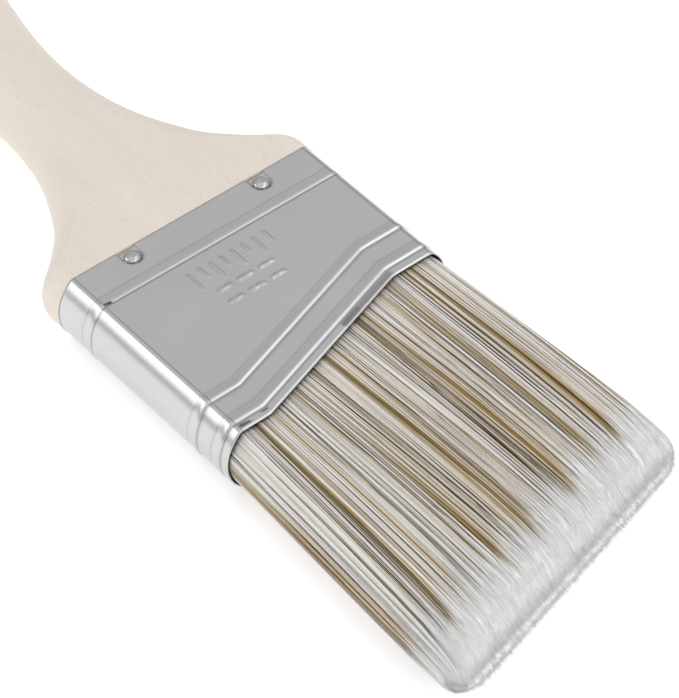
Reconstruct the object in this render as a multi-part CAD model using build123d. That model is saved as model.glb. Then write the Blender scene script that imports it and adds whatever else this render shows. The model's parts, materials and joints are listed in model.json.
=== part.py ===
"""Angle sash paint brush, 63.5 mm wide, lying flat on its back face.

X runs across the brush, Y along it with the handle towards +Y, and Z up through its thickness.
Every piece is modelled about the shoulder, where the handle meets the ferrule, and about the
middle of the thickness. It is then moved so that the origin is at the middle of the underside.
"""

import math
import os

from build123d import *

# Ferrule: a formed sheet sleeve with flat faces, bowed sides and a slanted mouth.
FERRULE_WIDTH = 63.5
FERRULE_THICKNESS = 15.0
SIDE_BOW = 3.4
SHEET = 0.45
LONG_SIDE = 50.7
SHORT_SIDE = 38.2
LONG_STEP_X = -21.2
SHORT_STEP_X = 18.6
FIT = 0.05

# Rolled beads: one straight below the shoulder, two that follow the mouth.
BEAD_RISE = 0.4
BEAD_WIDTH = 2.5
TOP_BEAD_Y = -8.8
MOUTH_BEADS_ABOVE = (10.2, 3.3)

# Nails, each in a dimple that opens at the ferrule's top edge.
NAIL_X = 15.7
NAIL_Y = -2.4
NAIL_HEAD_RADIUS = 1.65
NAIL_HEAD_HEIGHT = 0.75
NAIL_SHANK_RADIUS = 0.65
NAIL_LENGTH = 5.5
NAIL_POINT = 1.5
DIMPLE_RADIUS = 2.1
DIMPLE_DEPTH = 0.4

# Handle: distance from the shoulder, half width, half thickness, bow of the side.
TENON_LENGTH = 17.0
HANDLE_STATIONS = (
    (0.0, 31.85, 7.60, 3.5),
    (3.0, 32.05, 7.62, 4.1),
    (5.5, 31.55, 7.65, 4.8),
    (8.5, 28.40, 7.65, 5.6),
    (12.0, 24.60, 7.65, 6.3),
    (17.0, 20.00, 7.60, 6.8),
    (23.0, 16.40, 7.55, 7.0),
    (30.0, 13.20, 7.50, 7.1),
    (38.0, 10.95, 7.45, 7.1),
    (47.0, 9.80, 7.45, 7.1),
    (57.0, 9.95, 7.50, 7.1),
    (68.0, 11.60, 7.60, 7.1),
    (80.0, 14.20, 7.75, 7.1),
    (92.0, 16.40, 7.85, 7.2),
    (102.0, 17.10, 7.85, 7.2),
    (110.0, 16.10, 7.65, 7.0),
    (116.0, 13.40, 6.90, 6.3),
    (119.5, 10.30, 5.70, 5.2),
    (121.3, 7.30, 4.30, 3.9),
    (122.0, 4.60, 2.90, 2.6),
)
HANG_HOLE_Y = 106.0
HANG_HOLE_RADIUS = 4.0
HANG_HOLE_EASE = 0.8

# Filaments: the slant of the flex line and of the tips, and the line about which the head bends.
SLANT = 14.0
FLEX_AXIS_Y = -53.9
FLEX_RADIUS = 6.9
FLEX_GAP = 0.3
ROOT_DEPTH = 21.0
PLUG_TOP = ROOT_DEPTH
PLUG_END = 9.0
PLUG_HALF_WIDTH = 24.0
PLUG_THICKNESS = 2.2
BANK_SPLIT = 2.2
BANK_GAP = 0.1
HEAD_LENGTH = 54.8
HEAD_HALF_WIDTH = 34.4
HEAD_CORNER = 5.0
HEAD_SIDE_BOW = 3.6
HEAD_FLARE_LENGTH = 84.0
HEAD_BELLY = 7.3
HEAD_BELLY_AT = 18.0
HEAD_CHISEL_AT = 42.0
HEAD_CHISEL = 5.4
HEAD_TIP = 1.5
RESERVOIR_END = 22.0
RESERVOIR_FROM = -12.0

# The underside rests on the bead crests, and the origin is at the middle of the underside.
HALF_THICKNESS = FERRULE_THICKNESS / 2
CENTRE_Z = HALF_THICKNESS + BEAD_RISE
HANDLE_LENGTH = HANDLE_STATIONS[-1][0]
INNER_HALF_WIDTH = FERRULE_WIDTH / 2 - SHEET - FIT
INNER_HALF_THICKNESS = HALF_THICKNESS - SHEET - FIT
REACH = 90.0


def section(half_width, half_thickness, bow):
    """A flat-faced outline with bowed sides, in the XZ plane."""
    flat = half_width - bow
    top = Line((-flat, half_thickness), (flat, half_thickness))
    right = ThreePointArc((flat, half_thickness), (half_width, 0), (flat, -half_thickness))
    bottom = Line((flat, -half_thickness), (-flat, -half_thickness))
    left = ThreePointArc((-flat, -half_thickness), (-half_width, 0), (-flat, half_thickness))
    return Plane.XZ * make_face(top + right + bottom + left)


def sleeve_core(grow=0.0, length=LONG_SIDE):
    """The space inside or around the ferrule's outer skin, grown all round by a distance."""
    return extrude(
        section(FERRULE_WIDTH / 2 + grow, HALF_THICKNESS + grow, SIDE_BOW), amount=length
    )


def plan_slab(points, low=-REACH, high=REACH):
    """A flat slab of a closed outline in the XY plane, between two heights."""
    face = make_face(Polyline(*points, close=True))
    return Pos(0, 0, low) * extrude(face, amount=high - low)


def mouth_line(above=0.0):
    """The mouth's outline on a face, moved up towards the handle by a distance."""
    return [
        (-REACH, above - LONG_SIDE),
        (LONG_STEP_X, above - LONG_SIDE),
        (SHORT_STEP_X, above - SHORT_SIDE),
        (REACH, above - SHORT_SIDE),
    ]


def above_mouth():
    """Everything on the handle's side of the mouth."""
    return plan_slab(mouth_line() + [(REACH, 0), (-REACH, 0)])


def bead_bands(width):
    """The bands that the three beads cover, seen from above."""
    half = width / 2
    bands = [plan_slab([
        (-REACH, TOP_BEAD_Y - half),
        (REACH, TOP_BEAD_Y - half),
        (REACH, TOP_BEAD_Y + half),
        (-REACH, TOP_BEAD_Y + half),
    ])]
    for above in MOUTH_BEADS_ABOVE:
        lower = mouth_line(above - half)
        upper = mouth_line(above + half)
        bands.append(plan_slab(lower + upper[::-1]))
    return bands


def dimples(grow, surface):
    """Four D-shaped pads as deep as a dimple, with their outer faces at a height."""
    radius = DIMPLE_RADIUS + grow
    pads = []
    for x in (-NAIL_X, NAIL_X):
        outline = Pos(x, NAIL_Y) * Circle(radius)
        outline += Pos(x, NAIL_Y / 2) * Rectangle(2 * radius, -NAIL_Y)
        pad = extrude(outline, amount=DIMPLE_DEPTH + 1)
        pads.append(Pos(0, 0, surface - DIMPLE_DEPTH) * pad)
        pads.append(Pos(0, 0, DIMPLE_DEPTH - surface) * mirror(pad, Plane.XY))
    return pads


def ferrule_inside():
    """The space that the ferrule's sheet encloses, with its grooves and dimple bosses."""
    inside = sleeve_core(-SHEET, LONG_SIDE + 1)
    groove = sleeve_core(BEAD_RISE - SHEET, LONG_SIDE)
    for band in bead_bands(BEAD_WIDTH - 2 * SHEET):
        inside += groove & band
    for pad in dimples(SHEET, HALF_THICKNESS - SHEET):
        inside -= pad
    return inside


def make_ferrule():
    outside = sleeve_core() & above_mouth()
    crest = sleeve_core(BEAD_RISE)
    for band in bead_bands(BEAD_WIDTH):
        outside += crest & band
    for pad in dimples(0, HALF_THICKNESS):
        outside -= pad
    shell = outside - ferrule_inside()
    for nail in nails().values():
        shell -= nail
    return shell


def nail():
    """A domed nail, pointing down, with the underside of its head at the origin."""
    head = extrude(Circle(NAIL_HEAD_RADIUS), amount=NAIL_HEAD_HEIGHT)
    head = fillet(head.edges().group_by(Axis.Z)[-1], NAIL_HEAD_HEIGHT * 0.9)
    shank_length = NAIL_LENGTH - NAIL_POINT
    shank = Pos(0, 0, -shank_length / 2) * Cylinder(NAIL_SHANK_RADIUS, shank_length)
    point = Pos(0, 0, -shank_length - NAIL_POINT / 2) * Cone(0.1, NAIL_SHANK_RADIUS, NAIL_POINT)
    return head + shank + point


def nails():
    """Two nails in each face, seated on the floors of their dimples."""
    seat = HALF_THICKNESS - DIMPLE_DEPTH
    placed = {}
    for side, x in (("left", -NAIL_X), ("right", NAIL_X)):
        placed[f"nail_front_{side}"] = Pos(x, NAIL_Y, seat) * nail()
        placed[f"nail_back_{side}"] = Pos(x, NAIL_Y, -seat) * (Rot(180, 0, 0) * nail())
    return placed


def make_handle():
    """The grip and its tenon in one piece of wood, with the hanging hole."""
    stations = []
    for along, half_width, half_thickness, bow in HANDLE_STATIONS:
        stations.append(Pos(0, along, 0) * section(half_width, half_thickness, bow))
    grip = loft(stations)
    tenon = extrude(section(INNER_HALF_WIDTH, INNER_HALF_THICKNESS, SIDE_BOW), amount=TENON_LENGTH)
    for pad in dimples(SHEET + FIT, INNER_HALF_THICKNESS):
        tenon -= pad
    body = grip + tenon
    body -= Pos(0, HANG_HOLE_Y, 0) * Cylinder(HANG_HOLE_RADIUS, FERRULE_THICKNESS + 4)
    hole_faces = body.faces().filter_by(GeomType.CYLINDER).filter_by(
        lambda face: abs(face.center().Y - HANG_HOLE_Y) < HANG_HOLE_RADIUS
    )
    rims = [edge for edge in hole_faces.edges() if edge.length > 2 * math.pi * HANG_HOLE_RADIUS * 0.9]
    body = fillet(rims, HANG_HOLE_EASE)
    for each in nails().values():
        body -= each
    return body


def slanted(solid):
    """Turns a solid made along X onto the flex axis: its length then follows the slant."""
    return Pos(0, FLEX_AXIS_Y, 0) * (Rot(0, 0, SLANT) * solid)


def slanted_profile(profile, half_length=REACH):
    """Extrudes a closed outline in (distance past the flex axis, height) along the slant."""
    face = Plane(origin=(0, 0, 0), x_dir=(0, -1, 0), z_dir=(-1, 0, 0)) * profile
    return slanted(extrude(face, amount=half_length, both=True))


def slanted_slab(start, end):
    """Everything between two distances past the flex axis."""
    middle = (start + end) / 2
    return slanted_profile(Pos(middle, 0) * Rectangle(end - start, REACH))


def flex_cylinder(radius):
    return slanted(Rot(0, 90, 0) * Cylinder(radius, 2 * REACH))


def plug_slot(side, start, end, fit=0.0):
    """The room for one spacer plug, above or below the middle of the thickness."""
    height = PLUG_THICKNESS - 2 * fit
    slab = Pos(0, 0, side * BANK_SPLIT) * Box(2 * (PLUG_HALF_WIDTH - fit), 2 * REACH, height)
    return slab & slanted_slab(start, end)


def make_plugs():
    return {
        "spacer_plug_front": plug_slot(1, -PLUG_TOP + FIT, -PLUG_END, FIT),
        "spacer_plug_back": plug_slot(-1, -PLUG_TOP + FIT, -PLUG_END, FIT),
    }


def inner_prism(length):
    return extrude(section(INNER_HALF_WIDTH, INNER_HALF_THICKNESS, SIDE_BOW), amount=length)


def make_resin():
    """The set resin between the tenon's end and the filament roots."""
    below_tenon = plan_slab([
        (-REACH, -TENON_LENGTH - FIT),
        (REACH, -TENON_LENGTH - FIT),
        (REACH, -2 * REACH),
        (-REACH, -2 * REACH),
    ])
    return inner_prism(REACH) & below_tenon & slanted_slab(-REACH, -ROOT_DEPTH - FIT)


def bank_layers():
    """The three banks through the thickness: name, lowest and highest point."""
    gap = BANK_GAP / 2
    return (
        ("front", BANK_SPLIT + gap, REACH),
        ("middle", gap - BANK_SPLIT, BANK_SPLIT - gap),
        ("back", -REACH, -BANK_SPLIT - gap),
    )


def split_banks(solid, prefix):
    banks = {}
    for name, low, high in bank_layers():
        layer = Pos(0, 0, (low + high) / 2) * Box(4 * REACH, 4 * REACH, high - low)
        banks[f"{prefix}_{name}"] = solid & layer
    return banks


def make_roots():
    """The filaments' fixed ends: set in the ferrule and standing stiffly out of its mouth."""
    roots = inner_prism(REACH) & slanted_slab(-ROOT_DEPTH, 0)
    roots -= flex_cylinder(FLEX_RADIUS + FLEX_GAP)
    for side in (1, -1):
        roots -= plug_slot(side, -REACH, REACH)
    return split_banks(roots, "filament_root")


def head_outline():
    """The head seen from above: a slight flare, rounded corners and slanted tips."""
    slope = math.tan(math.radians(SLANT))
    tip_y = FLEX_AXIS_Y - HEAD_LENGTH / math.cos(math.radians(SLANT))
    corners = [
        (-INNER_HALF_WIDTH, -SHORT_SIDE),
        (-HEAD_HALF_WIDTH, tip_y - slope * HEAD_HALF_WIDTH),
        (HEAD_HALF_WIDTH, tip_y + slope * HEAD_HALF_WIDTH),
        (INNER_HALF_WIDTH, -SHORT_SIDE),
    ]
    outline = make_face(Polyline(*corners, close=True))
    tips = outline.vertices().sort_by(Axis.Y)[:2]
    return fillet(tips, HEAD_CORNER)


def head_profile():
    """The head seen from its side: round at the flex axis, full, then drawn to a chisel."""
    top = Spline(
        (0, FLEX_RADIUS),
        (HEAD_BELLY_AT, HEAD_BELLY),
        (HEAD_CHISEL_AT, HEAD_CHISEL),
        (HEAD_LENGTH, HEAD_TIP),
        tangents=((1, 0), (1, -0.9)),
    )
    bottom = mirror(top, Plane.XZ)
    tip = Line((HEAD_LENGTH, HEAD_TIP), (HEAD_LENGTH, -HEAD_TIP))
    knuckle = ThreePointArc((0, FLEX_RADIUS), (-FLEX_RADIUS, 0), (0, -FLEX_RADIUS))
    return make_face(top + tip + bottom + knuckle)


def reservoir_wedges():
    """The hollows below the plugs, which close where the banks come together."""
    half = PLUG_THICKNESS / 2
    wedges = []
    for side in (1, -1):
        middle = side * BANK_SPLIT
        outline = make_face(Polyline(
            (RESERVOIR_FROM, middle - half),
            (0, middle - half),
            (RESERVOIR_END, middle),
            (0, middle + half),
            (RESERVOIR_FROM, middle + half),
            close=True,
        ))
        width = Box(2 * PLUG_HALF_WIDTH, 4 * REACH, REACH)
        wedges.append(slanted_profile(outline) & width)
    return wedges


def head_flare():
    """The head's bowed sides, which carry on from the ferrule's and open a little."""
    mouth = section(INNER_HALF_WIDTH, HEAD_BELLY, HEAD_SIDE_BOW)
    tips = Pos(0, -HEAD_FLARE_LENGTH, 0) * section(HEAD_HALF_WIDTH, HEAD_BELLY, HEAD_SIDE_BOW)
    return Pos(0, -SHORT_SIDE, 0) * loft([mouth, tips])


def make_head():
    """The filaments' free ends, which bend together about the flex axis."""
    outline = Pos(0, 0, -REACH / 2) * extrude(head_outline(), amount=REACH)
    head = outline & slanted_profile(head_profile()) & head_flare()
    for wedge in reservoir_wedges():
        head -= wedge
    return split_banks(head, "filament_bank")


def main():
    pieces = {"handle": make_handle(), "ferrule": make_ferrule(), "resin_block": make_resin()}
    pieces.update(nails())
    pieces.update(make_plugs())
    pieces.update(make_roots())
    pieces.update(make_head())
    lowest_tip = min(piece.bounding_box().min.Y for piece in pieces.values())
    shift_y = -(HANDLE_LENGTH + lowest_tip) / 2
    os.makedirs("parts", exist_ok=True)
    for name, piece in pieces.items():
        export_step(Pos(0, shift_y, CENTRE_Z) * piece, f"parts/{name}.step")
    print(f"shoulder at y = {shift_y:.3f}, flex axis at y = {shift_y + FLEX_AXIS_Y:.3f}")


main()
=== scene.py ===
"""Angle sash paint brush, lying flat on its back face with the handle towards +Y.

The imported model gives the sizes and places. The ferrule, the nails and the filaments are modelled here
around it. Shapes are worked out in millimetres about the shoulder, where the handle meets the ferrule,
and at mid-thickness, and to_frame() carries them into the frame in metres.
"""

import json
import math

import bpy
import numpy as np
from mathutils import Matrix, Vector


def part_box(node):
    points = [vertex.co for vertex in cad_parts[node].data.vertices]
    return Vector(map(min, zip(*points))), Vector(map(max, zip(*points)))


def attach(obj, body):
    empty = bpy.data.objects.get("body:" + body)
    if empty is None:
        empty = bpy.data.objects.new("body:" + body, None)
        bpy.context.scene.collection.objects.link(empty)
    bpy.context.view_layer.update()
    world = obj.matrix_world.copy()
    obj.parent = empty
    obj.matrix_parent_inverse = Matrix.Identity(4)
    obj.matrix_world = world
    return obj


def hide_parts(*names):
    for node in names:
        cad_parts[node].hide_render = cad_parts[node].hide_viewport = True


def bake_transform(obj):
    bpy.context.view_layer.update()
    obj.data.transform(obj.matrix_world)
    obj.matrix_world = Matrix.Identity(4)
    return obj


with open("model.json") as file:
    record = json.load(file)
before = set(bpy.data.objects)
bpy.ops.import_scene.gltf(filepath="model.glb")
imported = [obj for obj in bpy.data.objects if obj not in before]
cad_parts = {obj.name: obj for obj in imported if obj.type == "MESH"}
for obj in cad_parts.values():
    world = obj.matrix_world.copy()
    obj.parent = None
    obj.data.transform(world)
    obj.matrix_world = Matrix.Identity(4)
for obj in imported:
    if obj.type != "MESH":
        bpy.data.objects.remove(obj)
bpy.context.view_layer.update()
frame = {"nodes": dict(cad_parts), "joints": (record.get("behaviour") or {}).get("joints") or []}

MM = 0.001
FLEX = frame["joints"][0]
FERRULE_LOW, FERRULE_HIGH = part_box("ferrule")
SHOULDER = FERRULE_HIGH.y
MIDDLE = (FERRULE_LOW.z + FERRULE_HIGH.z) / 2
FLEX_AXIS_Y = (FLEX["pos_m"][1] - SHOULDER) / MM
SLANT = math.atan2(FLEX["axis"][1], FLEX["axis"][0])

# Ferrule sheet, in millimetres. BEAD_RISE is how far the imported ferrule's beads stand out.
BEAD_RISE = 0.4
HALF_WIDTH = (FERRULE_HIGH.x - FERRULE_LOW.x) / MM / 2 - BEAD_RISE
HALF_THICKNESS = (FERRULE_HIGH.z - FERRULE_LOW.z) / MM / 2 - BEAD_RISE
LONG_SIDE = (SHOULDER - FERRULE_LOW.y) / MM
MOUTH_DROP = 12.5
SHORT_SIDE = LONG_SIDE - MOUTH_DROP
LONG_STEP_X = -21.2
SHORT_STEP_X = 18.6
SIDE_BOW = 3.4
CORNER_EASE = 0.5
FLAT_HALF_WIDTH = HALF_WIDTH - SIDE_BOW - CORNER_EASE
SHEET = 0.45
LIP_EASE = 0.12

# Beads: the height that shows, the run of the rise and of the fall, and the crest's offset.
BEAD_SHOW = 0.17
TOP_BEAD_SHOW = 0.1
BEAD_RAMP = 1.9
BEAD_FALL = 0.75
BEAD_CREST = 0.5
TOP_BEAD_Y = -8.8
MOUTH_BEADS_ABOVE = (10.2, 3.3)

# Painted shade and painted dark reflection lines on the sheet: how dark each kind is.
BEAD_FOOT_DARK = 0.75
BEAD_TOP_DARK = 0.22
CORNER_DARK = 0.45
RIM_DARK = 0.4
BEAD_LINE = 0.26
THIN_LINE = 0.25

# Painted dark reflections on the front face: the ends of each, its half width and its darkness.
PAINTED_REFLECTIONS = (
    (((-27.6, -9.5), (-26.3, -9.65)), 0.45, 1.0),
    (((-27.4, -49.5), (-25.4, -49.6)), 0.45, 0.95),
    (((-22.1, -49.2), (-20.9, -49.2)), 0.4, 0.8),
    (((3.6, -41.9), (8.0, -40.45)), 0.95, 0.62),
    (((6.0, -41.1), (18.4, -37.3)), 0.85, 0.48),
)

# Nails and their dimples. The shank is given as radius and height above the head's underside.
NAIL_X = 15.7
NAIL_Y = -2.4
NAIL_SIDES = 40
NAIL_SHANK = ((0.55, -2.2), (0.62, 0.0))
NAIL_HEAD_RADIUS = 1.65
NAIL_HEAD_HEIGHT = 0.78
DIMPLE_RADIUS = 2.1
DIMPLE_DEPTH = 0.4

# Size mark: a row of rule ticks and two rows of dashes, pressed out of the front face.
MARK_RISE = 0.12
TICKS_FROM_X = -10.9
TICK_PITCH = 2.6
TICK_COUNT = 8
TICKS_TOP_Y = -13.5
LONG_TICK, SHORT_TICK = 4.0, 2.4
TICK_HALF_WIDTH = 0.4
DASHES_Y = (-20.2, -23.8)
DASHES_X = (-7.6, -2.6, 2.4)
DASH_HALF_LENGTH = 1.5
DASH_HALF_WIDTH = 0.42

# Filaments: the bundle's shape. The chisel is squeezed by a share at each distance past the flex axis.
TIP_LENGTH = 54.5
TIP_HALF_WIDTH = 34.2
TIP_CORNER = 6.0
INSIDE_HALF_WIDTH = 31.05
INSIDE_HALF_THICKNESS = 6.8
FLARE = TIP_HALF_WIDTH / INSIDE_HALF_WIDTH
CHISEL_DROP = 1.6
CHISEL_PAST = (-12, 0, 14, 30, 41, 46.3, 50, 52, 53.5, 54.5)
CHISEL_SQUEEZE = (1.0, 1.02, 1.05, 1.03, 0.96, 0.87, 0.73, 0.58, 0.38, 0.16)
ROOT_INSIDE = 3.0
EDGE_GAP = 0.1

# Filaments: how many, and the places of rings along a full-length one and along a split end.
FILAMENT_COUNT = 9500
FILAMENT_SHARES = (0, 0.12, 0.24, 0.37, 0.52, 0.7, 0.84, 0.93, 0.975, 1.0)
MIDDLE_RING = 5
FLAG_COUNT = 13000
FLAG_SHARES = (0, 0.4, 0.7, 0.88, 1.0)
CORE_INSET = 0.75
CORE_END_INSET = 0.45

# Filaments: their colours. The map's upper part is the length past the turn to white.
WHITE_LENGTH = 12.7
TURN_AT = 0.62
MAP_LENGTH = 130.0
LOCK_WIDTH = 0.42
LOCK_DEPTH = 0.32

# Golden streaks: x at the mouth, x at the tips and half width.
STREAKS = (
    (-31.0, -34.0, 0.2), (-24.5, -27.3, 0.45), (-12.0, -10.2, 0.55), (-4.3, -2.4, 1.0),
    (7.8, 10.0, 0.85), (16.2, 17.4, 0.45), (22.6, 24.5, 0.55), (31.0, 34.0, 0.35),
)

# A lock's shade by its kind: golden in a streak, where the kind falls below 0, and clear near 1.
KINDS = (-0.9, -0.1, 0.05, 0.09, 0.24, 0.36, 0.62, 1.0)
SHADES = (0.76, 0.69, 0.60, 0.48, 0.37, 0.28, 0.17, 0.05)


# ---------------------------------------------------------------- modelling

def to_frame(points):
    """Millimetres about the shoulder at mid-thickness, as metres in the frame."""
    moved = np.array(points, float) * MM
    moved[..., 1] += SHOULDER
    moved[..., 2] += MIDDLE
    return moved


def from_frame(points):
    """The other way: metres in the frame, as millimetres about the shoulder at mid-thickness."""
    return (points - (0, SHOULDER, MIDDLE)) / MM


def deselect():
    bpy.ops.object.select_all(action="DESELECT")


def tube(name, rings, closed=False, caps=False):
    """A skin drawn out ring by ring from a circle, each vertex then moved to its place in the rings."""
    rings = np.array(rings, float)
    count = rings.shape[1]
    deselect()
    bpy.ops.mesh.primitive_circle_add(vertices=count, radius=1, location=(0, 0, 0))
    piece = bpy.context.object
    piece.name = piece.data.name = name
    bpy.ops.object.mode_set(mode="EDIT")
    bpy.ops.mesh.select_mode(type="EDGE")
    bpy.ops.mesh.select_all(action="SELECT")
    for _ in range(len(rings) - 1):
        bpy.ops.mesh.extrude_edges_move(TRANSFORM_OT_translate={"value": (0, 0, 1)})
    bpy.ops.object.mode_set(mode="OBJECT")
    start = read_points(piece)
    turn = np.arctan2(start[:, 1], start[:, 0]) % (2 * math.pi)
    column = np.rint(turn / (2 * math.pi) * count).astype(int) % count
    ring = np.rint(start[:, 2]).astype(int)
    write_points(piece, rings[ring, column])
    bpy.ops.object.mode_set(mode="EDIT")
    bpy.ops.mesh.select_all(action="SELECT")
    if closed:
        bpy.ops.mesh.remove_doubles(threshold=1e-7)
    if caps:
        bpy.ops.mesh.fill_holes(sides=0)
    bpy.ops.mesh.select_all(action="SELECT")
    bpy.ops.mesh.normals_make_consistent(inside=False)
    bpy.ops.object.mode_set(mode="OBJECT")
    return piece


def read_points(piece):
    flat = np.empty(len(piece.data.vertices) * 3)
    piece.data.vertices.foreach_get("co", flat)
    return flat.reshape(-1, 3)


def write_points(piece, points):
    piece.data.vertices.foreach_set("co", np.ascontiguousarray(points, float).ravel())
    piece.data.update()


def smooth(piece, angle=None):
    """Shades all of a piece smooth, or only its edges below an angle in degrees."""
    deselect()
    piece.select_set(True)
    bpy.context.view_layer.objects.active = piece
    if angle is None:
        bpy.ops.object.shade_smooth()
    else:
        bpy.ops.object.shade_smooth_by_angle(angle=math.radians(angle))


def paint(piece, material):
    piece.data.materials.clear()
    piece.data.materials.append(material)


# ---------------------------------------------------------------- ferrule

def mouth_y(x):
    """The mouth's line, with its two corners rounded a little."""
    spread = np.linspace(-0.4, 0.4, 9)
    at = np.asarray(x)[..., None] + spread
    cornered = np.interp(at, (LONG_STEP_X, SHORT_STEP_X), (-LONG_SIDE, -SHORT_SIDE))
    return cornered.mean(axis=-1)


def spaced(stops):
    """Values between stops, each stop given as (value, step towards the next one)."""
    values = []
    for (low, step), (high, _) in zip(stops, stops[1:]):
        count = max(1, round(abs(high - low) / step))
        values.extend(np.linspace(low, high, count, endpoint=False))
    return values + [stops[-1][0]]


def outline(half_width, half_thickness, bow, ease, face_stops, side_steps=18, corner_steps=5):
    """Points round a flat-faced outline with bowed sides and eased corners, and their outward normals.

    The round starts at the left of the front face. face_stops lists the face's points in shares of
    its half width, for the front face and then the back.
    """
    flat = half_width - bow
    radius = (bow ** 2 + half_thickness ** 2) / (2 * bow)
    reach = math.asin(half_thickness / radius)
    trim = ease / radius
    arc = np.linspace(reach - trim, -(reach - trim), side_steps)
    side = np.stack([half_width - radius + radius * np.cos(arc), radius * np.sin(arc)], 1)
    front, back = ([share * (flat - ease) for share in stops] for stops in face_stops)
    share = np.linspace(0, 1, corner_steps + 2)[1:-1, None]

    def corner(start, point, end):
        return (1 - share) ** 2 * start + 2 * share * (1 - share) * point + share ** 2 * end

    top_right = corner(np.array((flat - ease, half_thickness)), np.array((flat, half_thickness)), side[0])
    right = np.concatenate([top_right, side, (top_right * (1, -1))[::-1]])
    top = np.stack([front, np.full(len(front), half_thickness)], 1)
    bottom = np.stack([back, np.full(len(back), -half_thickness)], 1)[::-1]
    points = np.concatenate([top, right, bottom, (right * (-1, 1))[::-1]])
    ahead = np.roll(points, -1, axis=0) - np.roll(points, 1, axis=0)
    normals = np.stack([-ahead[:, 1], ahead[:, 0]], 1)
    normals /= np.linalg.norm(normals, axis=1)[:, None]
    outward = np.sign((normals * points).sum(1))
    return points, normals * outward[:, None]


def bead(above_crest):
    """A bead's height share: a long rise on the handle's side and a quick fall towards the mouth."""
    rise = 1 - soft_step(above_crest, 0.1, BEAD_RAMP)
    fall = soft_step(above_crest, -BEAD_FALL, 0.0)
    return rise * fall


def soft_step(value, start, end):
    """0 before the start, 1 after the end and smooth between."""
    share = np.clip((value - start) / (end - start), 0, 1)
    return share * share * (3 - 2 * share)


def away_from(x, y, ends):
    """The distance from the straight line between two points."""
    (x0, y0), (x1, y1) = ends
    run = (x1 - x0) ** 2 + (y1 - y0) ** 2
    along = np.clip(((x - x0) * (x1 - x0) + (y - y0) * (y1 - y0)) / run, 0, 1)
    return np.hypot(x - x0 - along * (x1 - x0), y - y0 - along * (y1 - y0))


def bar(x, y, ends, half_width):
    """A round-ended pressed bar between two points, as a height share."""
    return 1 - soft_step(away_from(x, y, ends), half_width - 0.3, half_width + 0.15)


def size_mark(x, y):
    """Height share of the rule ticks and the dashes below them."""
    bars = []
    for tick in range(TICK_COUNT):
        at = TICKS_FROM_X + tick * TICK_PITCH
        length = LONG_TICK if tick % 2 == 0 else SHORT_TICK
        bars.append((((at, TICKS_TOP_Y), (at, TICKS_TOP_Y - length)), TICK_HALF_WIDTH))
    for row in DASHES_Y:
        for at in DASHES_X:
            ends = (at - DASH_HALF_LENGTH, row), (at + DASH_HALF_LENGTH, row)
            bars.append((ends, DASH_HALF_WIDTH))
    height = np.zeros_like(x)
    for ends, half_width in bars:
        height = np.maximum(height, bar(x, y, ends, half_width))
    return height


def dimple(x, y):
    """Depth share of the D-shaped dimples, which run out at the ferrule's top edge."""
    away_x = np.abs(np.abs(x) - NAIL_X)
    below = np.minimum(y - NAIL_Y, 0)
    away = np.hypot(away_x, below)
    return 1 - soft_step(away, DIMPLE_RADIUS - 0.35, DIMPLE_RADIUS + 0.25)


def sheet_lift(x, y, front_face, on_face):
    """How far the formed sheet stands out from the plain sleeve."""
    above = y - mouth_y(x)
    lift = TOP_BEAD_SHOW * bead(y - TOP_BEAD_Y + BEAD_CREST)
    for at in MOUTH_BEADS_ABOVE:
        lift = np.maximum(lift, BEAD_SHOW * bead(above - at + BEAD_CREST))
    lift = lift - DIMPLE_DEPTH * dimple(x, y) * on_face
    return lift + MARK_RISE * size_mark(x, y) * front_face


def how_deep(x, z):
    """Depth below the plain sleeve's outside, of points on its faces and sides."""
    radius = (SIDE_BOW ** 2 + HALF_THICKNESS ** 2) / (2 * SIDE_BOW)
    side = radius - np.hypot(np.abs(x) - HALF_WIDTH + radius, z)
    return np.minimum(HALF_THICKNESS - np.abs(z), side)


def line(distance, half_width):
    """A thin line's darkness: full on it, none at its half width."""
    return np.clip(1 - np.abs(distance) / half_width, 0, 1)


def spot(x, y, ends, half_width):
    """A soft dark mark drawn between two points."""
    return 1 - soft_step(away_from(x, y, ends), half_width * 0.4, half_width)


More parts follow.
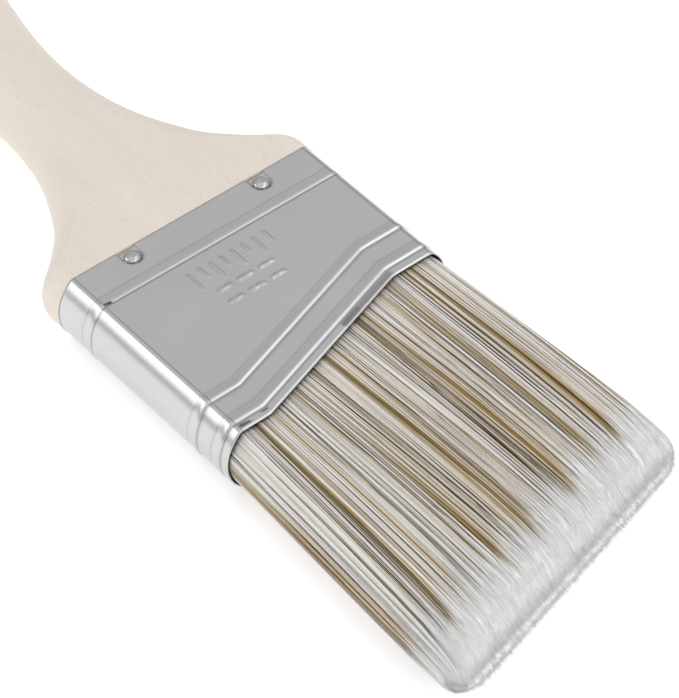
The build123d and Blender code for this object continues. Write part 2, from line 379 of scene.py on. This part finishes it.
def paint_sheet_shade(piece):
    """Painted shade and painted dark reflections on the sheet: how dark each point is, in the creases
    along the beads, round the nails and at the lip.
    """
    x, y, z = from_frame(read_points(piece)).T
    above = y - mouth_y(x)
    outside = np.abs(z) > HALF_THICKNESS - 0.03
    front = z > HALF_THICKNESS - 0.03
    dark = np.zeros_like(x)
    # Painted shade: thin dark lines at the foot and along the top of each bead.
    for past_bead in (y - TOP_BEAD_Y, *(above - at for at in MOUTH_BEADS_ABOVE)):
        dark = np.maximum(dark, BEAD_FOOT_DARK * line(past_bead + BEAD_CREST + BEAD_FALL, BEAD_LINE))
        dark = np.maximum(dark, BEAD_TOP_DARK * line(past_bead + BEAD_CREST - BEAD_RAMP, BEAD_LINE))
    # Painted dark reflection: a thin dark line along the corners between the faces and the bowed sides.
    dark = np.maximum(dark, CORNER_DARK * line(np.abs(x) - FLAT_HALF_WIDTH, THIN_LINE) * outside)
    # Painted shade: a dark ring round each nail head, darkest on its lower side, and a thin dark line
    # along the right half of each dimple's rim.
    across, down = np.abs(x) - NAIL_X, y - NAIL_Y
    away = np.hypot(across, down)
    under = 0.55 + 0.45 * np.clip(-across * 0.3 - down * 0.6, -1, 1)
    on_faces = np.abs(z) > 5
    dark = np.maximum(dark, under * line(away - NAIL_HEAD_RADIUS - 0.12, 0.3) * on_faces)
    rim = np.hypot(across, np.minimum(down, 0)) - DIMPLE_RADIUS
    right_half = x > NAIL_X * np.sign(x)
    dark = np.maximum(dark, RIM_DARK * line(rim, THIN_LINE) * right_half * on_faces)
    # Painted shade along the edges of the pressed size mark.
    mark = size_mark(x, y)
    dark = np.maximum(dark, 1.3 * mark * (1 - mark) * front)
    # Painted dark reflections on the front face.
    for ends, half_width, depth in PAINTED_REFLECTIONS:
        dark = np.maximum(dark, depth * spot(x, y, ends, half_width) * front)
    # Painted shade: the inner half of the mouth's lip is black, for the dark gap between the sheet and the
    # filaments.
    inner = (np.abs(above) < 0.01) & (how_deep(x, z) > SHEET - 0.2)
    dark = np.where(inner, 1.0, dark)
    # The darkness is painted shade and painted dark reflections, kept as a point attribute.
    layer = piece.data.attributes.new("crease", "FLOAT", "POINT")
    layer.data.foreach_set("value", dark)


def make_ferrule(material):
    """The formed sheet: one closed skin, with points set closer wherever the sheet is shaped."""
    flat = FLAT_HALF_WIDTH
    fine = NAIL_X - 2.7, NAIL_X + 2.7
    front = spaced([(-flat, 0.2), (0.6 - flat, 0.45), (-fine[1], 0.28), (-fine[0], 0.9), (-12, 0.27),
                    (9, 0.9), (fine[0], 0.28), (fine[1], 1.2), (flat - 0.6, 0.2), (flat, 1)])
    back = spaced([(-flat, 0.2), (0.6 - flat, 1.4), (-fine[1], 0.3), (-fine[0], 1.4),
                   (fine[0], 0.3), (fine[1], 1.4), (flat - 0.6, 0.2), (flat, 1)])
    shares = [[x / flat for x in face] for face in (front, back)]
    points, normals = outline(HALF_WIDTH, HALF_THICKNESS, SIDE_BOW, CORNER_EASE, shares)
    x, z = points[:, 0], points[:, 1]
    mouth = mouth_y(x)
    on_face = (np.abs(np.abs(z) - HALF_THICKNESS) < 1e-6).astype(float)
    front_face = on_face * (z > 0)
    straight = spaced([(-0.12, 0.24), (-6.0, 0.5), (-7.4, 0.2), (-10.2, 0.3), (-11.0, 1)])
    morph = spaced([(0, 1 / 58), (1, 1)])[1:-1]
    along = spaced([(11.8, 0.2), (8.8, 0.7), (4.7, 0.2), (1.9, 0.45), (0.12, 1)])
    rows = [np.full_like(x, y) for y in straight]
    rows += [-11.0 + share * (mouth + along[0] + 11.0) for share in morph]
    rows += [mouth + above for above in along]

    def ring(y, lift):
        return np.stack([x + normals[:, 0] * lift, y, z + normals[:, 1] * lift], 1)

    outer = [ring(y, sheet_lift(x, y, front_face, on_face)) for y in rows]
    dent = dimple(x, np.zeros_like(x)) * on_face * DIMPLE_DEPTH
    top_lip = [ring(np.zeros_like(x), -LIP_EASE - dent)]
    mouth_lip = [ring(mouth, np.full_like(x, -depth)) for depth in (LIP_EASE, SHEET - LIP_EASE)]
    inner = [ring(-0.5 + share * (mouth + 1.0) * 0.99, np.full_like(x, -SHEET - 0.01))
             for share in np.linspace(1, 0, 8)]
    skin = top_lip + outer + mouth_lip + inner
    ferrule = tube("ferrule_sheet", to_frame(skin + [skin[0]]), closed=True)
    paint_sheet_shade(ferrule)
    smooth(ferrule, 50)
    paint(ferrule, material)
    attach(ferrule, "brush_body")
    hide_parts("ferrule")


# ---------------------------------------------------------------- nails

def make_nails(material):
    """A domed head turned from a circle, a little flattened where the hammer met it, then copied."""
    turn = np.arange(NAIL_SIDES) / NAIL_SIDES * 2 * math.pi
    profile = [*NAIL_SHANK, (NAIL_HEAD_RADIUS, 0.0)]
    for lean in np.radians(np.linspace(6, 90, 10)):
        radius = NAIL_HEAD_RADIUS * math.cos(lean) ** 0.75
        profile.append((radius, NAIL_HEAD_HEIGHT * math.sin(lean)))
    rings = [np.stack([radius * np.cos(turn), radius * np.sin(turn), np.full(NAIL_SIDES, height)], 1)
             for radius, height in profile]
    head = tube("nail", np.array(rings), caps=True)
    shape = read_points(head)
    away = np.hypot(shape[:, 0] - 0.2, shape[:, 1] + 0.15)
    shape[:, 2] -= 0.07 * np.clip(1 - away / 0.8, 0, 1) * (shape[:, 2] > 0.3)
    for face, sign in (("front", 1), ("back", -1)):
        for side, x in (("left", -NAIL_X), ("right", NAIL_X)):
            one = head.copy()
            one.data = head.data.copy()
            one.name = one.data.name = f"nail_{face}_{side}_polished"
            bpy.context.collection.objects.link(one)
            spun = shape * (1, 1, sign)
            spun += (x, NAIL_Y, sign * (HALF_THICKNESS - DIMPLE_DEPTH))
            write_points(one, to_frame(spun))
            deselect()
            one.select_set(True)
            bpy.context.view_layer.objects.active = one
            bpy.ops.object.mode_set(mode="EDIT")
            bpy.ops.mesh.select_all(action="SELECT")
            bpy.ops.mesh.normals_make_consistent(inside=False)
            bpy.ops.object.mode_set(mode="OBJECT")
            smooth(one, 60)
            paint(one, material)
            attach(one, "brush_body")
            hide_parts(f"nail_{face}_{side}")
    bpy.data.objects.remove(head)


# ---------------------------------------------------------------- filaments

def tip_y(x):
    """The trimmed tips' slanted line, with rounded corners."""
    straight = FLEX_AXIS_Y - TIP_LENGTH / math.cos(SLANT) + np.tan(SLANT) * x
    over = np.clip(np.abs(x) - (TIP_HALF_WIDTH - TIP_CORNER), 0, TIP_CORNER)
    return straight + TIP_CORNER - np.sqrt(TIP_CORNER ** 2 - over ** 2)


def kept_inside(x_end):
    """Ends held a little inside the bundle's outer edges."""
    return np.clip(x_end, -TIP_HALF_WIDTH + EDGE_GAP, TIP_HALF_WIDTH - EDGE_GAP)


def waves(rng, count, low, high):
    """A smooth seeded wave of one number, for clumps: a sum of sines between two wavelengths."""
    lengths = np.exp(rng.uniform(math.log(low), math.log(high), count))
    phases = rng.uniform(0, 2 * math.pi, count)
    weights = rng.uniform(0.5, 1, count)
    weights /= np.sqrt((weights ** 2).sum() / 2)

    def wave(value):
        total = np.zeros_like(value)
        for length, phase, weight in zip(lengths, phases, weights):
            total += weight * np.sin(value / length * 2 * math.pi + phase)
        return total

    return wave


def strand(name, sides, rings):
    """One strand, upright and one unit long: the pattern for all the copies."""
    turn = np.arange(sides) / sides * 2 * math.pi
    shape = []
    for height in np.linspace(0, 1, rings):
        shape.append(np.stack([np.cos(turn), np.sin(turn), np.full(sides, height)], 1))
    return tube(name, np.array(shape), caps=True)


def grow(name, pattern, centres, radii, shade, reach, material, nodes):
    """Copies a strand along each centre line into one mesh, with its shade and reach as its map."""
    base = read_points(pattern)
    count = len(centres)
    steps = centres.shape[1]
    ring = np.rint(base[:, 2] * (steps - 1)).astype(int)
    points = centres[:, ring, :].copy()
    points[:, :, 0] += radii[:, ring] * base[:, 0]
    points[:, :, 2] += radii[:, ring] * base[:, 1]
    faces = [list(polygon.vertices) for polygon in pattern.data.polygons]
    loops = np.array([vertex for face in faces for vertex in face])
    sizes = np.array([len(face) for face in faces])
    all_loops = (loops[None, :] + (np.arange(count) * len(base))[:, None]).ravel()
    all_sizes = np.tile(sizes, count)
    mesh = bpy.data.meshes.new(name)
    mesh.vertices.add(count * len(base))
    mesh.vertices.foreach_set("co", to_frame(points).ravel())
    mesh.loops.add(len(all_loops))
    mesh.loops.foreach_set("vertex_index", all_loops)
    mesh.polygons.add(len(all_sizes))
    mesh.polygons.foreach_set("loop_start", np.concatenate([[0], np.cumsum(all_sizes)[:-1]]))
    mesh.polygons.foreach_set("loop_total", all_sizes)
    mesh.update(calc_edges=True)
    mesh.validate()
    place = np.empty((count, len(base), 2))
    place[:, :, 0] = shade[:, ring] + 0.0025 * (base[:, 0] * 0.8 + base[:, 1] * 0.6)
    place[:, :, 1] = reach[:, ring]
    layer = mesh.uv_layers.new(name="OFBake")
    layer.data.foreach_set("uv", place.reshape(-1, 2)[all_loops].ravel())
    piece = bpy.data.objects.new(name, mesh)
    bpy.context.collection.objects.link(piece)
    smooth(piece)
    paint(piece, material)
    bend_with_head(piece)
    if nodes:
        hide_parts(*nodes)
    return piece


def bundle_depths(x, z):
    """Depths below the bundle's faces and below its bowed sides."""
    bowed = INSIDE_HALF_WIDTH - SIDE_BOW * (z / INSIDE_HALF_THICKNESS) ** 2
    return INSIDE_HALF_THICKNESS - np.abs(z), bowed - np.abs(x)


def standing(rng, count, low, high):
    """Where filaments stand in the mouth, at depths below the bundle's skin between low and high."""
    tries = count * 30
    x = rng.uniform(-INSIDE_HALF_WIDTH, INSIDE_HALF_WIDTH, tries)
    z = rng.uniform(-INSIDE_HALF_THICKNESS, INSIDE_HALF_THICKNESS, tries)
    depth = np.minimum(*bundle_depths(x, z))
    keep = np.flatnonzero((depth >= low) & (depth < high))[:count]
    keep = keep[np.argsort(z[keep])]
    return x[keep], z[keep]


def lay(x, z, x_end, share, short=0.0):
    """Points along filaments that stand at (x, z) in the mouth and end at x_end on the chisel."""
    level = np.abs(z) / INSIDE_HALF_THICKNESS
    y_start = mouth_y(x) + ROOT_INSIDE
    y_end = tip_y(x_end) + CHISEL_DROP * level ** 3 + short
    y = y_start + (y_end - y_start) * share
    past = FLEX_AXIS_Y + np.tan(SLANT) * x_end - y
    squeeze = np.interp(past, CHISEL_PAST, CHISEL_SQUEEZE)
    return np.stack([x + (x_end - x) * share, y, z * squeeze], -1)


def bend_with_head(piece):
    """Carries the piece's placing into its points."""
    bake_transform(piece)


def white_line(x_end):
    """Where filaments that end at x_end turn white, before any scatter."""
    return tip_y(x_end) + WHITE_LENGTH


def map_reach(turn_white, y):
    """A filament's place along its own colours, TURN_AT being where it turns white."""
    return TURN_AT + (turn_white - y) / MAP_LENGTH


def locks(x, z):
    """Each filament's lock and how near it is to the lock's edge.

    A lock is a narrow group that lies together and shares a colour.
    """
    depth_z, depth_x = bundle_depths(x, z)
    along = np.where(depth_z < depth_x, x + np.sign(z) * 200, z + np.sign(x) * 500)
    layer = np.floor(np.minimum(depth_z, depth_x) / LOCK_DEPTH)
    place = along / LOCK_WIDTH + layer * 0.37
    edge = np.abs(place - np.rint(place))
    _, number = np.unique(np.floor(place) * 10 + layer, return_inverse=True)
    return number, edge


def streak_share(x, share):
    """How far into a golden streak each point is. The streaks widen towards the tips."""
    starts, ends, widths = np.array(STREAKS).T
    along = np.asarray(share)[..., None]
    across = (x[..., None] - starts - (ends - starts) * along) / (widths * (0.6 + 1.4 * along))
    return np.exp(-across ** 2).max(axis=-1)


def make_filaments(material):
    """Full-length filaments, in the bundle's outer layers where they can be seen."""
    rng = np.random.default_rng(7)
    x, z = standing(rng, FILAMENT_COUNT, 0.0, 1.15)
    count = len(x)
    share = np.array(FILAMENT_SHARES)[None, :]
    lock, edge = locks(x, z)
    per_lock = lock.max() + 1
    starts, ends, _ = np.array(STREAKS).T
    lean = np.interp(x, starts, ends - starts * FLARE)
    x_end = x * FLARE + lean + rng.normal(0, 0.5, per_lock)[lock] + rng.normal(0, 0.09, count)
    x_end = kept_inside(x_end)
    short = rng.normal(0.2, 0.5, count)
    lines = lay(x[:, None], z[:, None], x_end[:, None], share, short[:, None])
    lift = rng.normal(0, 0.13, per_lock)[lock] + rng.normal(0, 0.04, count)
    fade = np.interp(share, (0, 0.6, 0.95), (0, 1, 0))
    lines[:, :, 2] += lift[:, None] * fade * np.sign(z)[:, None]
    streak = streak_share(lines[:, :, 0], share)
    kind = rng.uniform(0, 1, per_lock)[lock][:, None] - 0.9 * streak
    shade = np.interp(kind, KINDS, SHADES) + rng.normal(0, 0.11, count)[:, None]
    # Painted shade: dark, thin filaments at the edges of locks and a few scattered ones stand for the
    # shade between the filaments, and they stay dark further into the white ends.
    between_locks = (edge < 0.15) & (rng.uniform(0, 1, count) < 0.5 - 0.25 * streak[:, MIDDLE_RING])
    gap = between_locks | (rng.uniform(0, 1, count) < 0.04)
    shade = np.where(gap[:, None], rng.uniform(0.84, 1.0, (count, 1)), shade)
    # Bright filaments: partly pale filaments, partly painted highlight lines along the filaments.
    clear = rng.uniform(0, 1, (count, 1)) < 0.15
    shade = np.where(clear, rng.uniform(0.0, 0.05, (count, 1)), shade)
    width = np.where(gap, rng.uniform(0.06, 0.09, count), rng.uniform(0.08, 0.13, count))
    taper = np.interp(share[0], (0, 0.72, 0.9, 1), (1.0, 0.95, 0.5, 0.3))
    turn_white = white_line(x_end) + 1.2 - 4.2 * streak[:, -1] + rng.normal(0, 1.6, per_lock)[lock]
    turn_white += rng.normal(0, 2.0, count) - gap * rng.uniform(0, 5, count)
    reach = map_reach(turn_white[:, None], lines[:, :, 1])
    pattern = strand("strand", 3, len(FILAMENT_SHARES))
    for bank, chosen in zip(("back", "middle", "front"), np.array_split(np.arange(count), 3)):
        grow(f"filaments_{bank}", pattern, lines[chosen], width[chosen, None] * taper[None, :],
             np.clip(shade[chosen], 0.01, 0.99), reach[chosen], material,
             (f"filament_bank_{bank}", f"filament_root_{bank}"))
    bpy.data.objects.remove(pattern)


def make_flags(material):
    """The fine split ends that cover the chisel."""
    rng = np.random.default_rng(11)
    x, z = standing(rng, FLAG_COUNT // 2, 0.0, 0.45)
    deep_x, deep_z = standing(rng, FLAG_COUNT // 2, 0.45, 7.0)
    x, z = np.concatenate([x, deep_x]), np.concatenate([z, deep_z])
    order = np.argsort(z)
    x, z = x[order], z[order]
    count, steps = len(x), len(FLAG_SHARES)
    x_end = kept_inside(x * FLARE + rng.normal(0, 0.12, count))
    short = rng.normal(0.2, 0.35, count)
    first = rng.uniform(0.82, 0.93, count)
    share = first[:, None] + (1.01 - first)[:, None] * np.array(FLAG_SHARES)[None, :]
    lines = lay(x[:, None], z[:, None], x_end[:, None], share, short[:, None])
    lines[:, 0, 2] *= 0.95
    fan = rng.normal(0, 1, (count, 1, 3)) * (0.06, 0.1, 0.06)
    lines += fan * np.linspace(0, 1, steps)[None, :, None] ** 3
    radii = rng.uniform(0.03, 0.05, count)[:, None] * np.array((0.3, 1.0, 1.0, 0.9, 0.4))[None, :]
    reach = map_reach(white_line(x_end)[:, None], lines[:, :, 1])
    shade = np.repeat(rng.uniform(0.03, 0.97, (count, 1)), steps, axis=1)
    pattern = strand("flag", 3, steps)
    for side, chosen in zip(("back", "front"), np.array_split(np.arange(count), 2)):
        grow(f"flagged_tips_{side}", pattern, lines[chosen], radii[chosen], shade[chosen],
             reach[chosen], material, ())
    bpy.data.objects.remove(pattern)


def make_core(material):
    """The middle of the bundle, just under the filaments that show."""
    stops = [list(np.linspace(-1, 1, 90))] * 2

    def core_ring(share, inset, scale=1.0):
        half_thickness = INSIDE_HALF_THICKNESS - inset
        points, _ = outline(INSIDE_HALF_WIDTH - inset, half_thickness, SIDE_BOW, 1.0, stops, 14)
        x, z = points[:, 0], points[:, 1] * scale
        return lay(x, z, x * FLARE, share, 0.4)

    insets = (0, 0.84, 0.92, 1), (CORE_INSET, CORE_INSET, 0.3, CORE_END_INSET)
    shares = np.concatenate([np.linspace(0, 0.9, 27), np.linspace(0.92, 1, 8)])
    rings = [core_ring(share, np.interp(share, *insets)) for share in shares]
    for scale in (0.95, 0.89, 0.82, 0.73, 0.62, 0.48, 0.32, 0.16, 0.0):
        bulge = CORE_END_INSET * math.sqrt(1 - scale ** 2)
        rings.append(core_ring(1.0, CORE_END_INSET, scale) - (0, bulge, 0))
    rings = [rings[0] * (1, 1, 0), rings[0] * (1, 1, 0.6)] + rings
    core = tube("filament_core", to_frame(rings), closed=True)
    layer = core.data.uv_layers.new(name="OFBake")
    at = np.empty(len(core.data.loops), int)
    core.data.loops.foreach_get("vertex_index", at)
    place = from_frame(read_points(core))
    # Painted shade: the core is a dark brown that wanders slowly, so it shows as shade in the gaps between
    # the filaments over it, and a little grey between the white ends.
    brown = waves(np.random.default_rng(5), 14, 0.9, 9)
    shade = np.clip(0.74 + 0.1 * brown(place[:, 0] + 0.6 * place[:, 2]), 0.5, 0.9)
    ragged = waves(np.random.default_rng(6), 10, 1.0, 7)(place[:, 0]) * 1.2
    turn_white = white_line(place[:, 0]) + ragged - 4 * streak_share(place[:, 0], np.full(len(place), 0.8))
    reach = map_reach(turn_white, place[:, 1])
    layer.data.foreach_set("uv", np.stack([shade, reach], 1)[at].ravel())
    smooth(core, 60)
    paint(core, material)
    bend_with_head(core)


# ---------------------------------------------------------------- finishes

# A Mix node's colour sockets, which share their names with its other kinds.
MIX_SHARE, MIX_FIRST, MIX_SECOND, MIX_RESULT = 0, 6, 7, 2


class Num:
    """A number that varies over a surface: an expression on it adds the Math nodes."""

    def __init__(self, tree, socket):
        self.tree = tree
        self.socket = socket

    def _math(self, operation, *values):
        node = self.tree.node("ShaderNodeMath", {"operation": operation}, values)
        return Num(self.tree, node.outputs[0])

    def __add__(self, other):
        return self._math("ADD", self, other)

    def __sub__(self, other):
        return self._math("SUBTRACT", self, other)

    def __rsub__(self, other):
        return self._math("SUBTRACT", other, self)

    def __mul__(self, other):
        return self._math("MULTIPLY", self, other)

    __radd__ = __add__
    __rmul__ = __mul__


class Tree:
    """An empty node tree and the tools to build its nodes."""

    def __init__(self, owner):
        owner.use_nodes = True
        self.tree = owner.node_tree
        self.tree.nodes.clear()

    def node(self, kind, settings, sockets):
        """Adds a node: its settings, then the value or link of each socket, by name or in order."""
        made = self.tree.nodes.new(kind)
        for name, value in settings.items():
            if name == "stops":
                self.set_stops(made.color_ramp, value)
            else:
                setattr(made, name, value)
        pairs = sockets.items() if isinstance(sockets, dict) else enumerate(sockets)
        for name, value in pairs:
            self.feed(made.inputs[name], value)
        return made

    def feed(self, socket, value):
        if isinstance(value, Num):
            value = value.socket
        if isinstance(value, bpy.types.NodeSocket):
            self.tree.links.new(value, socket)
        else:
            socket.default_value = value

    def set_stops(self, ramp, stops):
        while len(ramp.elements) > 1:
            ramp.elements.remove(ramp.elements[-1])
        for index, (position, colour) in enumerate(stops):
            stop = ramp.elements[0] if index == 0 else ramp.elements.new(position)
            stop.position = position
            stop.color = (*colour, 1)

    def ramp(self, value, stops):
        return self.node("ShaderNodeValToRGB", {"stops": stops}, (value,)).outputs["Color"]


class Finish(Tree):
    """A material made of one Principled shader and what feeds it."""

    def __init__(self, name, **values):
        self.material = bpy.data.materials.new(name)
        super().__init__(self.material)
        self.shader = self.node("ShaderNodeBsdfPrincipled", {}, values)
        self.node("ShaderNodeOutputMaterial", {}, {"Surface": self.shader.outputs[0]})

    def place(self, stretch):
        """Object coordinates in millimetres, divided by a stretch along each axis."""
        source = self.node("ShaderNodeTexCoord", {}, {}).outputs["Object"]
        scale = tuple(1 / (MM * part) for part in stretch)
        return self.node("ShaderNodeVectorMath", {"operation": "MULTIPLY"}, (source, scale)).outputs[0]

    def attribute(self, name):
        return Num(self, self.node("ShaderNodeAttribute", {"attribute_name": name}, {}).outputs["Fac"])

    def noise(self, vector, scale=1.0, detail=2.0, rough=0.5):
        made = self.node("ShaderNodeTexNoise", {},
                         {"Vector": vector, "Scale": scale, "Detail": detail, "Roughness": rough})
        return Num(self, made.outputs["Fac"])

    def band(self, value, low, high):
        """0 below low, 1 above high, smooth between."""
        made = self.node("ShaderNodeMapRange", {"interpolation_type": "SMOOTHSTEP"},
                         {"Value": value, "From Min": low, "From Max": high})
        return Num(self, made.outputs["Result"])

    def mix(self, share, first, second):
        """A colour between two: each a socket or three numbers."""
        colours = [(*value, 1) if isinstance(value, tuple) else value for value in (first, second)]
        made = self.node("ShaderNodeMix", {"data_type": "RGBA"},
                         {MIX_SHARE: share, MIX_FIRST: colours[0], MIX_SECOND: colours[1]})
        return made.outputs[MIX_RESULT]

    def set(self, **values):
        """Feeds the shader's sockets, each named with underscores for its spaces."""
        for name, value in values.items():
            self.feed(self.shader.inputs[name.replace("_", " ")], value)

    def relief(self, height, depth):
        made = self.node("ShaderNodeBump", {}, {"Height": height, "Strength": 1.0, "Distance": depth})
        self.feed(self.shader.inputs["Normal"], made.outputs[0])


def pale_wood():
    """Close-grained white wood, sanded and sealed matt."""
    wood = Finish("pale_wood")
    wood.set(Specular_IOR_Level=0.3)
    slow = wood.noise(wood.place((9, 60, 9)), detail=3)
    fibre = wood.noise(wood.place((0.28, 7, 0.28)), detail=3, rough=0.6)
    flecks = wood.band(wood.noise(wood.place((0.22, 1.5, 0.22)), detail=1), 0.63, 0.74)
    base = wood.mix(slow, (0.69, 0.617, 0.55), (0.775, 0.71, 0.645))
    grained = wood.mix(wood.band(fibre, 0.45, 0.8) * 0.3, base, (0.60, 0.50, 0.40))
    wood.set(Base_Color=wood.mix(flecks * 0.3, grained, (0.50, 0.39, 0.29)))
    wood.set(Roughness=fibre * 0.12 + 0.5)
    wood.relief(fibre * 0.6 - flecks * 0.5, 0.00003)
    return wood.material


def satin_steel():
    """Bright rolled sheet with a satin skin."""
    steel = Finish("satin_steel", Metallic=1.0)
    cloud = steel.noise(steel.place((14, 14, 14)), detail=2)
    rolled = steel.noise(steel.place((12, 0.25, 12)), detail=3, rough=0.6)
    # Painted shade and painted dark reflections: the sheet's darkness attribute darkens its colour towards
    # black.
    crease = steel.attribute("crease")
    sheet = steel.mix(cloud, (0.54, 0.54, 0.54), (0.59, 0.59, 0.59))
    steel.set(Base_Color=steel.mix(crease * 0.9, sheet, (0.03, 0.03, 0.03)))
    steel.set(Roughness=rolled * 0.08 + cloud * 0.05 + 0.17)
    steel.relief(rolled, 0.000004)
    return steel.material


def polished_steel():
    """Bright nail heads, a little uneven from the hammer."""
    nail = Finish("polished_steel", Metallic=1.0)
    hammer = nail.noise(nail.place((0.9, 0.9, 0.9)), detail=2)
    nail.set(Base_Color=nail.mix(hammer, (0.44, 0.44, 0.44), (0.58, 0.58, 0.58)))
    nail.set(Roughness=hammer * 0.1 + 0.08)
    nail.relief(hammer, 0.00008)
    return nail.material


def set_resin():
    """Cloudy amber resin."""
    resin = Finish("set_resin", Roughness=0.35)
    cloud = resin.noise(resin.place((3, 3, 3)), detail=3)
    resin.set(Base_Color=resin.mix(cloud, (0.34, 0.22, 0.10), (0.48, 0.33, 0.16)))
    resin.relief(cloud, 0.0001)
    return resin.material


def grey_plastic():
    """Moulded plastic with a slightly uneven skin."""
    plastic = Finish("grey_plastic", Roughness=0.5)
    cloud = plastic.noise(plastic.place((2, 2, 2)), detail=3)
    plastic.set(Base_Color=plastic.mix(cloud, (0.20, 0.20, 0.21), (0.25, 0.25, 0.26)))
    plastic.relief(cloud, 0.00005)
    return plastic.material


def tapered_filament():
    """Drawn filaments: clear, straw and golden brown bodies that turn white at their ends, with painted
    shade between them and at the nose, and painted light just before it.
    """
    fibre = Finish("tapered_filament", Roughness=0.38)
    fibre.set(Specular_IOR_Level=0.45)
    source = fibre.node("ShaderNodeUVMap", {"uv_map": "OFBake"}, {}).outputs[0]
    split = fibre.node("ShaderNodeSeparateXYZ", {}, (source,))
    shade, reach = Num(fibre, split.outputs[0]), Num(fibre, split.outputs[1])
    # The ramp's darkest end is painted shade, worn by the dark filaments between the locks and by the core
    # beneath them.
    body = fibre.ramp(shade, (
        (0.0, (0.98, 0.965, 0.95)), (0.22, (0.84, 0.79, 0.745)), (0.40, (0.74, 0.64, 0.52)),
        (0.55, (0.62, 0.485, 0.27)), (0.75, (0.46, 0.32, 0.115)), (0.85, (0.16, 0.105, 0.05)),
        (1.0, (0.03, 0.02, 0.012)),
    ))
    golden = fibre.band(shade, 0.42, 0.62) * (1 - fibre.band(shade, 0.78, 0.84))
    pale = (1 - fibre.band(reach, 0.05, 0.42)) * golden * 0.45
    near_mouth = fibre.mix(pale, body, (0.60, 0.53, 0.42))
    white = fibre.band(reach, 0.595, 0.65)
    tip = fibre.mix(fibre.band(shade, 0.5, 0.9), (0.98, 0.98, 0.98), (0.82, 0.82, 0.82))
    # Painted light: just before the nose the ends are an even bright white, lifting the shade that falls
    # there.
    even = fibre.mix(fibre.band(reach, 0.692, 0.706), tip, (0.96, 0.96, 0.96))
    # Painted shade: the last of the ends, round the nose, are grey.
    painted_nose_shade = fibre.mix(fibre.band(reach, 0.7145, 0.7185), even, (0.72, 0.72, 0.72))
    fibre.set(Base_Color=fibre.mix(white, near_mouth, painted_nose_shade))
    return fibre.material


# ---------------------------------------------------------------- stage

# The sky's brightness by height, and the direction in which that height is measured.
SKY = ((0.0, 0.6), (0.2, 0.69), (0.36, 0.735), (0.6, 0.93), (0.9, 1.05))
SKY_TOP = (0, -0.5, 0.866)

FLOOR_WHITE = 0.93
FLOOR_GLOW = 0.33
LAMPS_AIM = (0, -0.03, 0)

# Camera: its heading and height in degrees, what it looks at in millimetres about the shoulder,
# how far away it is in metres, and its lens in millimetres on a 36 mm sensor.
AZIMUTH = -39.985
ELEVATION = 46.297
AIM = (3.572, -40.375, -0.53)
DISTANCE = 0.70035
SENSOR = 36
LENS = 198.13


def studio():
    """A pale floor that glows a little, a sky that is brighter overhead, and three weak soft boxes."""
    deselect()
    bpy.ops.mesh.primitive_plane_add(size=6, location=(0, 0, 0))
    floor = bpy.context.object
    floor.name = "floor"
    card = Finish("floor_card", Roughness=0.9)
    card.set(Base_Color=(FLOOR_WHITE, FLOOR_WHITE, FLOOR_WHITE, 1), Specular_IOR_Level=0.0)
    card.set(Emission_Color=(1, 1, 1, 1), Emission_Strength=FLOOR_GLOW)
    paint(floor, card.material)

    world = bpy.data.worlds.new("studio")
    bpy.context.scene.world = world
    sky = Tree(world)
    where = sky.node("ShaderNodeTexCoord", {}, {}).outputs["Generated"]
    height = sky.node("ShaderNodeVectorMath", {"operation": "DOT_PRODUCT"}, (where, SKY_TOP))
    glow = sky.ramp(height.outputs["Value"], [(at, (level, level, level)) for at, level in SKY])
    back = sky.node("ShaderNodeBackground", {}, {"Color": glow, "Strength": 1.0})
    sky.node("ShaderNodeOutputWorld", {}, {"Surface": back.outputs[0]})

    def soft_box(name, place, size, power):
        deselect()
        bpy.ops.object.light_add(type="AREA", location=place)
        lamp = bpy.context.object
        lamp.name = name
        lamp.data.shape = "RECTANGLE"
        lamp.data.size, lamp.data.size_y = size
        lamp.data.energy = power
        lamp.rotation_euler = (Vector(LAMPS_AIM) - Vector(place)).to_track_quat("-Z", "Y").to_euler()

    soft_box("long_side_box", (-0.66, 0.46, 0.40), (0.6, 0.42), 1.15)
    soft_box("strip_box", (0.5, -0.1, 0.95), (0.9, 0.25), 0.65)
    soft_box("front_box", (0.1, -0.9, 0.8), (0.5, 0.5), 1.2)


def camera():
    """A long lens that looks down on the front face from beyond the tips, on the long side."""
    azimuth, elevation = math.radians(AZIMUTH), math.radians(ELEVATION)
    view = Vector((-math.sin(azimuth) * math.cos(elevation),
                   math.cos(azimuth) * math.cos(elevation),
                   -math.sin(elevation)))
    aim = Vector((AIM[0] * MM, SHOULDER + AIM[1] * MM, MIDDLE + AIM[2] * MM))
    eye = aim - view * DISTANCE
    deselect()
    bpy.ops.object.camera_add(location=eye, rotation=(math.pi / 2 - elevation, 0, azimuth))
    taker = bpy.context.object
    taker.data.sensor_fit = "HORIZONTAL"
    taker.data.sensor_width = SENSOR
    taker.data.lens = LENS
    taker.data.clip_start = 0.01
    bpy.context.scene.camera = taker
    bpy.context.scene.view_settings.view_transform = "Standard"


# ---------------------------------------------------------------- assembly

steel = satin_steel()
make_ferrule(steel)
make_nails(polished_steel())
filament = tapered_filament()
make_filaments(filament)
make_flags(filament)
make_core(filament)
paint(frame["nodes"]["handle"], pale_wood())
paint(frame["nodes"]["resin_block"], set_resin())
plastic = grey_plastic()
for plug in ("spacer_plug_front", "spacer_plug_back"):
    paint(frame["nodes"][plug], plastic)
studio()
camera()
